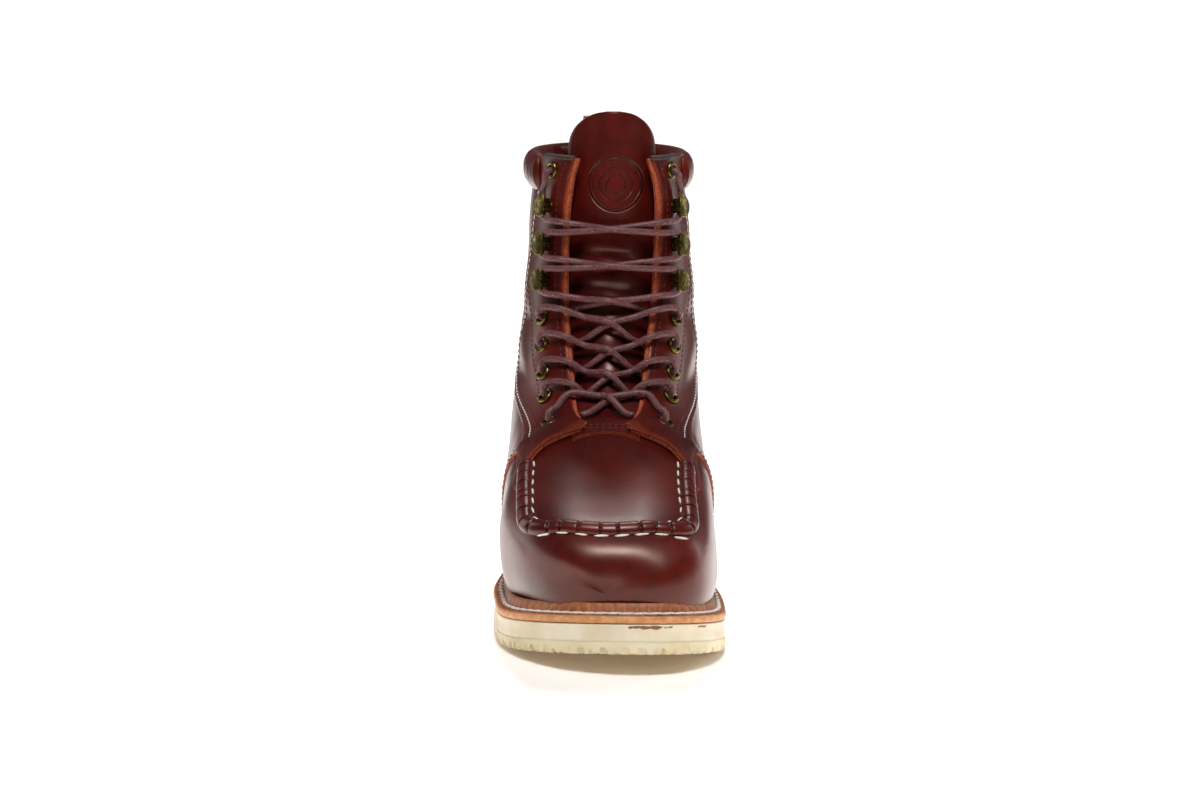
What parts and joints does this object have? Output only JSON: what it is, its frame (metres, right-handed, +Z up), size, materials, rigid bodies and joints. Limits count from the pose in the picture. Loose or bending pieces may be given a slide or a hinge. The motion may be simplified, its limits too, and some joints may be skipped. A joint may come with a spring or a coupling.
{
  "type": "wedge sole work boot",
  "caption": "Right-foot lace-up work boot in glossy oxblood leather, with a moccasin toe, storm welt, cream wedge sole, brass eyelets and lace hooks.",
  "frame": {"origin": "on the floor, under the middle of the boot's box", "axes": "+Z up, the toe towards -Y, the big toe's side towards +X"},
  "size_m": [0.1145, 0.3002, 0.25],
  "materials": {
    "cream_rubber": "moulded, matt",
    "pale_rubber": "moulded foam, matt",
    "welt_leather": "vegetable tanned, satin",
    "oxblood_leather": "pull-up leather, glossy",
    "lining_leather": "unfinished, matt",
    "antique_brass": "antiqued, satin",
    "waxed_lace": "braided and waxed"
  },
  "bodies": {
    "root": {"outsole": "cream_rubber", "midsole": "pale_rubber", "welt": "welt_leather", "upper": "oxblood_leather", "insole": "lining_leather", "tongue": "oxblood_leather", "pull_loop": "oxblood_leather", "eyelet_1_medial": "antique_brass", "eyelet_1_lateral": "antique_brass", "eyelet_2_medial": "antique_brass", "eyelet_2_lateral": "antique_brass", "eyelet_3_medial": "antique_brass", "eyelet_3_lateral": "antique_brass", "eyelet_4_medial": "antique_brass", "eyelet_4_lateral": "antique_brass", "eyelet_5_medial": "antique_brass", "eyelet_5_lateral": "antique_brass", "eyelet_9_medial": "antique_brass", "eyelet_9_lateral": "antique_brass", "lace_hook_6_medial": "antique_brass", "lace_hook_6_lateral": "antique_brass", "lace_hook_7_medial": "antique_brass", "lace_hook_7_lateral": "antique_brass", "lace_hook_8_medial": "antique_brass", "lace_hook_8_lateral": "antique_brass", "lace_bottom": "waxed_lace", "lace_cross_1": "waxed_lace", "lace_cross_2": "waxed_lace", "lace_cross_3": "waxed_lace", "lace_cross_4": "waxed_lace", "lace_cross_5": "waxed_lace", "lace_cross_6": "waxed_lace", "lace_end_medial": "waxed_lace", "lace_end_lateral": "waxed_lace"}
  },
  "joints": []
}
